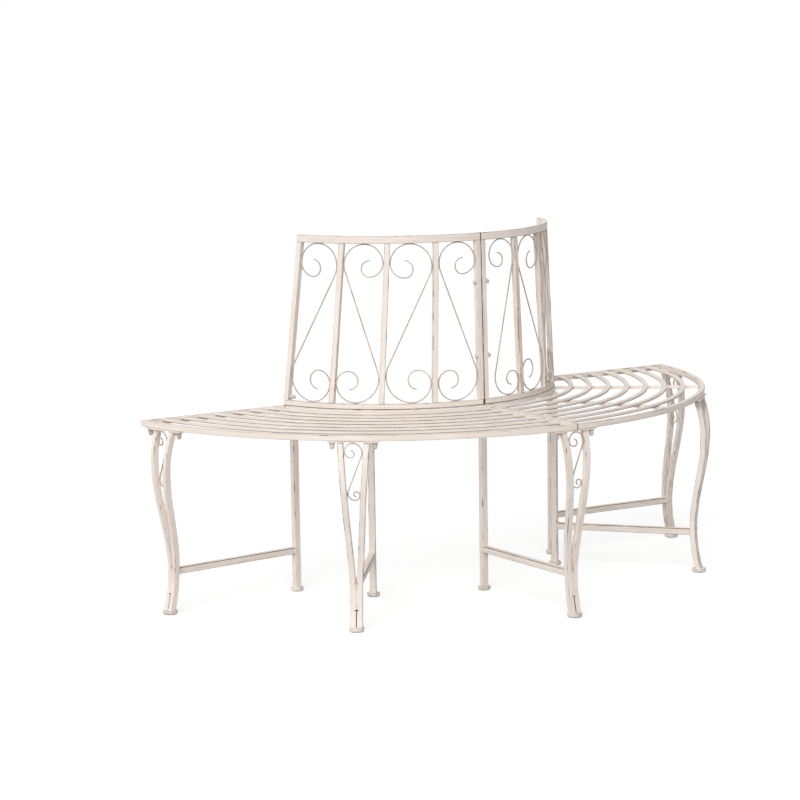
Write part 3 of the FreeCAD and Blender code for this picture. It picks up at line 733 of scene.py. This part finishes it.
def feet(kind):
    shape = bmesh.new()
    bottom, top = height_range(kind)
    for points in node_solids(kind):
        base = axis_line(points, UP) + UP * bottom
        turned(shape, base, UP, foot_rings(half_width(points), top - bottom))
    turned_piece(kind, shape, upper=FOOT_LINE)


def plate_nuts():
    shape = bmesh.new()
    for points in node_solids("plate_nuts"):
        bottom, top = spans(points, UP)
        seat = top - PLATE_THICKNESS
        rings = shank_rings(PLATE_THICKNESS) + nut_rings(half_width(points), seat - bottom)
        turned(shape, axis_line(points, UP) + UP * seat, -UP, rings)
    turned_piece("plate_nuts", shape)


def panel_nuts():
    shape = bmesh.new()
    for points in node_solids("panel_nuts"):
        near, far = spans(points, ALONG)
        base = axis_line(points, ALONG) + ALONG * near
        turned(shape, base, ALONG, nut_rings(PANEL_NUT_RADIUS, far - near))
    turned_piece("panel_nuts", shape)


def panel_bolts():
    shape = bmesh.new()
    post_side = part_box("back_joint_post_left")[0][0]
    for points in node_solids("panel_bolts"):
        far = spans(points, ALONG)[1]
        rings = shank_rings(far - post_side) + low_dome_rings(CAP_RADIUS, PANEL_BOLT_HEAD)
        turned(shape, axis_line(points, ALONG) + ALONG * post_side, -ALONG, rings)
    turned_piece("panel_bolts", shape)


def inwards_axis(points):
    # A level direction along a bolt at an end post, towards the bench's middle.
    axis = long_axis(points)
    axis.z = 0
    axis.normalize()
    return axis if axis.x * centre_of(points).x < 0 else -axis


def end_post_nuts():
    shape = bmesh.new()
    for points in node_solids("end_post_nuts"):
        inwards = inwards_axis(points)
        near, far = spans(points, inwards)
        base = axis_line(points, inwards) + inwards * near
        turned(shape, base, inwards, nut_rings(CAP_RADIUS, far - near))
    turned_piece("end_post_nuts", shape)


def end_post_bolts():
    shape = bmesh.new()
    for points in node_solids("end_post_bolts"):
        inwards = inwards_axis(points)
        near, far = spans(points, inwards)
        seat = near + FLAT_HEAD
        rings = shank_rings(far - seat) + flat_head_rings(CAP_RADIUS, FLAT_HEAD)
        turned(shape, axis_line(points, inwards) + inwards * seat, -inwards, rings)
    turned_piece("end_post_bolts", shape)


feet("outer_feet")
feet("inner_feet")
plate_nuts()
panel_nuts()
panel_bolts()
end_post_nuts()
end_post_bolts()


# Weld beads

BEAD_SIDES = 8
DROP = 2.6 * MM
SWELL = 0.14
UNEVEN = 0.1
TAPER_STEPS = 2
END_SIZE = 0.35
ROUNDING_SLACK = 1e-9
BEAD_WEAR = 0.35
POST_BEAD = 1.1 * MM
SLAT_BEAD = 0.9 * MM
BAR_BEAD = 1.4 * MM
SCROLL_BEAD = 1.5 * MM


def bead(shape, path, radius):
    # A run of weld along a path: drops that overlap, smaller at the two ends.
    lengths = [0.0]
    for here, after in zip(path, path[1:]):
        lengths.append(lengths[-1] + (after - here).length)
    count = max(4, round(lengths[-1] / (DROP / 3)))
    phase = chance.uniform(0, math.tau)
    loops = []
    for step in range(count + 1):
        reach = lengths[-1] * step / count
        part = max(i for i in range(len(path) - 1) if lengths[i] <= reach + ROUNDING_SLACK)
        share = (reach - lengths[part]) / (lengths[part + 1] - lengths[part])
        spot = path[part].lerp(path[part + 1], share)
        heading = (path[part + 1] - path[part]).normalized()
        side = heading.orthogonal().normalized()
        other = heading.cross(side)
        swell = 1.0 + SWELL * math.sin(math.tau * reach / DROP + phase)
        swell += chance.uniform(-UNEVEN, UNEVEN)
        taper = END_SIZE + (1 - END_SIZE) * min(step, count - step) / TAPER_STEPS
        size = radius * swell * min(1.0, taper)
        angles = [math.tau * k / BEAD_SIDES for k in range(BEAD_SIDES)]
        loops.append([shape.verts.new(spot + size * (side * math.cos(a) + other * math.sin(a)))
                      for a in angles])
    close_tube(shape, loops)


def bead_piece(name, slot, paths, radius, worn=BEAD_WEAR, seam=None):
    shape = bmesh.new()
    for path in paths:
        bead(shape, path, radius)
    bmesh.ops.recalc_face_normals(shape, faces=shape.faces)
    mesh = add_piece(name, shape, slot).data
    marks = [(worn, 0.0, 0.0)] * sum(len(face.vertices) for face in mesh.polygons)
    lay_paint(mesh, marks, "free", seam=seam)


# Welds at the ends of bars

BEAD_INSET = 0.8 * MM
SEAM_GAP = 2.4 * MM
END_SLICE = 2.0 * MM
RADIAL = 0.7


def end_ring(points, top):
    # The corners of an upright bar's end, in order round it.
    level = max(p.z for p in points) if top else min(p.z for p in points)
    ring = [p for p in points if abs(p.z - level) < SLIVER]
    middle = centre_of(ring)
    return sorted(ring, key=lambda p: math.atan2(p.y - middle.y, p.x - middle.x))


def closed(ring):
    return ring + ring[:1]


def round_end(points, top):
    # A path round an upright bar's end, a little inside its corners.
    ring = end_ring(points, top)
    middle = centre_of(ring)
    return closed([p + (middle - p).normalized() * BEAD_INSET for p in ring])


def side_edges(ring):
    # The edges of a post's end that run towards the tree.
    found = []
    for here, after in zip(ring, ring[1:] + ring[:1]):
        if abs((after - here).normalized().dot(towards_tree(here))) > RADIAL:
            found.append([here, after])
    return found


def bar_end_path(points, towards):
    # Down one side of a level bar's end, under it and up the other side.
    reach = max(p.dot(towards) for p in points)
    ring = [p for p in points if p.dot(towards) > reach - END_SLICE]
    across = UP.cross(towards)
    bottom, top = spans(ring, UP)
    left = min(ring, key=lambda p: p.dot(across))
    right = max(ring, key=lambda p: p.dot(across))
    return [Vector((left.x, left.y, top)), Vector((left.x, left.y, bottom)),
            Vector((right.x, right.y, bottom)), Vector((right.x, right.y, top))]


def slat_end_path(ends):
    # Over the top of a slat's end and down its two sides.
    bottom, top = spans(ends, UP)
    ends = sorted(ends, key=lambda p: towards_tree(p).dot(p))
    front, rear = ends[0], ends[-1]
    return [Vector((front.x, front.y, bottom)), Vector((front.x, front.y, top)),
            Vector((rear.x, rear.y, top)), Vector((rear.x, rear.y, bottom))]


def post_welds(side):
    paths = []
    for kind in ("back_end_post_", "back_joint_post_", "back_mid_posts_"):
        for points in node_solids(kind + side):
            for top in (False, True):
                for here, after in side_edges(end_ring(points, top)):
                    if min(abs(here.x), abs(after.x)) > SEAM_GAP:
                        paths.append([here.lerp(after, share) for share in (0.1, 0.5, 0.9)])
    bead_piece("post_welds_" + side, "painted_frame", paths, POST_BEAD)


def slat_welds(side):
    paths = []
    for points in node_solids("seat_slats_" + side):
        nearest = min(abs(p.x) for p in points)
        rearmost = max(p.y for p in points)
        paths.append(slat_end_path([p for p in points if abs(p.x) < nearest + SLIVER]))
        paths.append(slat_end_path([p for p in points if p.y > rearmost - SLIVER]))
    bead_piece("slat_welds_" + side, "painted_frame", paths, SLAT_BEAD)


def bar_welds(side):
    paths = []
    for kind in ("seat_joint_bar_", "seat_support_bars_"):
        for points in node_solids(kind + side):
            inwards = towards_tree(centre_of(points))
            paths += [bar_end_path(points, towards) for towards in (inwards, -inwards)]
    bead_piece("bar_welds_" + side, "painted_frame", paths, BAR_BEAD)


def leg_welds(leg):
    uprights = node_solids("leg_bars_" + leg) + node_solids("inner_leg_" + leg)
    paths = [round_end(points, top) for points in uprights for top in (False, True)]
    stretcher = node_solids("stretcher_" + leg)[0]
    axis = long_axis(stretcher)
    paths += [closed(bar_end_path(stretcher, towards)) for towards in (axis, -axis)]
    bead_piece("leg_welds_" + leg, "painted_legs", paths, BAR_BEAD)


# Welds where scrolls touch bars

TOUCH = 1.2 * MM
DAB = 3.0 * MM


def surface_of(names):
    # All the solids of these nodes as one surface to measure against.
    corners = []
    faces = []
    for name in names:
        mesh = frame["nodes"][name].data
        shift = len(corners)
        corners += [vert.co.copy() for vert in mesh.vertices]
        faces += [[shift + k for k in face.vertices] for face in mesh.polygons]
    return BVHTree.FromPolygons(corners, faces)


def level_distance(first, second):
    return (first.x - second.x) ** 2 + (first.y - second.y) ** 2


def contact_paths(name, surface):
    # Dabs of weld where a scroll comes against a bar: at its top and bottom, and at the far
    # sides of its two curls.
    paths = []
    for points in node_solids(name):
        middle = sum(spans(points, UP)) / 2
        far = max(points, key=lambda p: level_distance(p, points[0]))
        near = max(points, key=lambda p: level_distance(p, far))
        across = Vector((far.x - near.x, far.y - near.y, 0)).normalized()
        upper = [p for p in points if p.z > middle]
        lower = [p for p in points if p.z < middle]
        wanted = [(max(upper, key=UP.dot), across), (min(lower, key=UP.dot), across)]
        for curl in (upper, lower):
            wanted += [(max(curl, key=across.dot), UP), (min(curl, key=across.dot), UP)]
        for spot, heading in wanted:
            hit, _, _, distance = surface.find_nearest(spot)
            if distance < TOUCH:
                centre = (spot + hit) / 2
                paths.append([centre - heading * DAB, centre, centre + heading * DAB])
    return paths


def back_scroll_welds(side):
    kinds = ("back_end_post_", "back_mid_posts_", "back_joint_post_",
             "back_top_rail_", "back_bottom_rail_")
    paths = contact_paths("back_scrolls_" + side, surface_of([kind + side for kind in kinds]))
    bead_piece("scroll_welds_" + side, "painted_scrolls", paths, SCROLL_BEAD)


def leg_scroll_welds(leg):
    surface = surface_of(["leg_bars_" + leg, "leg_plate_" + leg])
    paths = contact_paths("leg_scroll_" + leg, surface)
    bead_piece("leg_scroll_welds_" + leg, "painted_scrolls", paths, SCROLL_BEAD)


# Welds where a leg's two bars come together

SEARCH_FROM = 90 * MM
SEARCH_TO = 180 * MM
SEARCH_STEP = 1 * MM
NOTCH_HALF_GAP = 1.3 * MM
NOTCH_DEPTH = 2 * MM
NOTCH_RISE = 4 * MM
ON_BAR = 3 * MM
WELD_ACROSS = (-5 * MM, -3 * MM, 3 * MM, 5 * MM)
WELL_ON_BAR = 6 * MM
INTO_BAR = 5 * MM
OUTSIDE = 200 * MM
FILL_DEPTH = 0.9 * MM
FILL_STEPS = 6
WELD_WORN = 1.3
WELD_BROWN = 0.45


class BarPair:
    # Measures the outer faces of a leg's two bars from in front of them.

    def __init__(self, leg):
        self.surface = surface_of(["leg_bars_" + leg])
        self.middle, self.across = bar_feet("leg_bars_" + leg)
        inwards = UP.cross(self.across)
        self.inwards = inwards * math.copysign(1, inwards.dot(towards_tree(self.middle)))

    def face_point(self, level, aside):
        start = Vector((self.middle.x, self.middle.y, level))
        start += self.across * aside - self.inwards * OUTSIDE
        return self.surface.ray_cast(start, self.inwards)[0]

    def half_gap(self, level):
        start = self.face_point(level, WELL_ON_BAR)
        start += self.inwards * INTO_BAR - self.across * WELL_ON_BAR
        return self.surface.ray_cast(start, self.across)[3]

    def seam_point(self, level, depth):
        faces = (self.face_point(level, ON_BAR) + self.face_point(level, -ON_BAR)) / 2
        return faces + self.inwards * depth

    def notch_level(self):
        level = SEARCH_FROM
        while level < SEARCH_TO and self.half_gap(level) < NOTCH_HALF_GAP:
            level += SEARCH_STEP
        return level


def leg_seam_welds(leg):
    # A weld across the two bars where they come together, one down the notch above it, one
    # more across near the foot, and the seam between these two filled.
    bars = BarPair(leg)
    level = bars.notch_level()
    paths = [[bars.face_point(height, aside) for aside in WELD_ACROSS]
             for height in (level, LOW_WELD)]
    notch = bars.seam_point(level, NOTCH_DEPTH)
    paths.append([notch, notch + UP * NOTCH_RISE, notch + UP * 2 * NOTCH_RISE])
    bead_piece("leg_seam_welds_" + leg, "painted_legs", paths, BAR_BEAD, WELD_WORN,
               lambda point: WELD_BROWN)
    heights = [LOW_WELD + (level - LOW_WELD) * step / FILL_STEPS for step in range(FILL_STEPS + 1)]
    fill = [bars.seam_point(height, FILL_DEPTH) for height in heights]
    bead_piece("leg_seam_fill_" + leg, "painted_legs", [fill], BAR_BEAD)


for side in SIDES:
    post_welds(side)
for side in SIDES:
    slat_welds(side)
    bar_welds(side)
for leg in LEGS:
    leg_welds(leg)
for side in SIDES:
    back_scroll_welds(side)
for leg in LEGS:
    leg_seam_welds(leg)
    leg_scroll_welds(leg)


# Floor and light

FLOOR_HALF = 30
FLOOR_GREY = (0.5, 0.5, 0.5)
FLOOR_ROUGHNESS = 0.9
FLOOR_GLOW = 0.62
WHITE = (1, 1, 1, 1)
AMBIENT = 0.30


def seen(nodes):
    # 1 for what the camera sees, directly, in gloss or through glass, and 0 for what only
    # lights the bench.
    path = nodes.add("ShaderNodeLightPath").outputs
    found = nodes.reckon("MAXIMUM", path["Is Camera Ray"], path["Is Glossy Ray"])
    return nodes.reckon("MAXIMUM", found, path["Is Transmission Ray"])


def studio_floor():
    # A grey floor that glows for the camera alone, so that it shows white with shadows.
    material, nodes, shader = new_material("floor")
    nodes.put((*FLOOR_GREY, 1), shader["Base Color"])
    nodes.put(FLOOR_ROUGHNESS, shader["Roughness"])
    nodes.put(0.0, shader["Specular IOR Level"])
    nodes.put(WHITE, shader["Emission Color"])
    nodes.put(nodes.reckon("MULTIPLY", seen(nodes), FLOOR_GLOW), shader["Emission Strength"])
    mesh = bpy.data.meshes.new("floor")
    corners = [(x * FLOOR_HALF, y * FLOOR_HALF, 0) for x, y in ((-1, -1), (1, -1), (1, 1), (-1, 1))]
    mesh.from_pydata(corners, [], [(0, 1, 2, 3)])
    mesh.materials.append(material)
    floor = bpy.data.objects.new("floor", mesh)
    bpy.context.scene.collection.objects.link(floor)


def studio_world():
    # White for the camera and a soft light from all round for the bench.
    world = bpy.data.worlds.new("studio")
    bpy.context.scene.world = world
    world.use_nodes = True
    nodes = Nodes(world.node_tree)
    sky = world.node_tree.nodes["Background"].inputs
    level = nodes.reckon("MULTIPLY", seen(nodes), 1.0 - AMBIENT)
    nodes.put(nodes.reckon("ADD", level, AMBIENT), sky["Strength"])
    nodes.put(WHITE, sky["Color"])


def sun(name, strength, spread_degrees, towards):
    lamp = bpy.data.lights.new(name, "SUN")
    lamp.energy = strength
    lamp.angle = math.radians(spread_degrees)
    lamp_object = bpy.data.objects.new(name, lamp)
    lamp_object.rotation_euler = Vector(towards).to_track_quat("-Z", "Y").to_euler()
    bpy.context.scene.collection.objects.link(lamp_object)


studio_floor()
studio_world()
sun("key", strength=2.5, spread_degrees=50, towards=(0.6, 0.6, -0.55))
sun("back", strength=1.0, spread_degrees=60, towards=(0.5, -1.0, -0.5))


# Camera, fitted to the photograph's rim, ring, rails and feet

PHOTO_WIDTH = 800
FOCAL_PIXELS = 2757.894
SENSOR = 36.0
TURN = math.radians(-32.6663)
TILT = math.radians(8.5422)
ROLL = math.radians(-0.8447)
DISTANCE = 6680.06 * MM
TARGET = Vector((-237.595, -400.0, 496.489)) * MM + Vector((0, TREE_Y, 0))


def photo_camera():
    back = Vector((math.sin(TURN) * math.cos(TILT), -math.cos(TURN) * math.cos(TILT),
                   math.sin(TILT)))
    level_right = Vector((math.cos(TURN), math.sin(TURN), 0))
    level_up = back.cross(level_right)
    right = level_right * math.cos(ROLL) + level_up * math.sin(ROLL)
    top = level_up * math.cos(ROLL) - level_right * math.sin(ROLL)
    lens = bpy.data.cameras.new("camera")
    lens.sensor_width = SENSOR
    lens.lens = SENSOR * FOCAL_PIXELS / PHOTO_WIDTH
    camera = bpy.data.objects.new("camera", lens)
    turn = Matrix((right, top, back)).transposed().to_4x4()
    camera.matrix_world = Matrix.Translation(TARGET + back * DISTANCE) @ turn
    bpy.context.scene.collection.objects.link(camera)
    bpy.context.scene.camera = camera


photo_camera()
bpy.context.scene.view_settings.view_transform = "Standard"
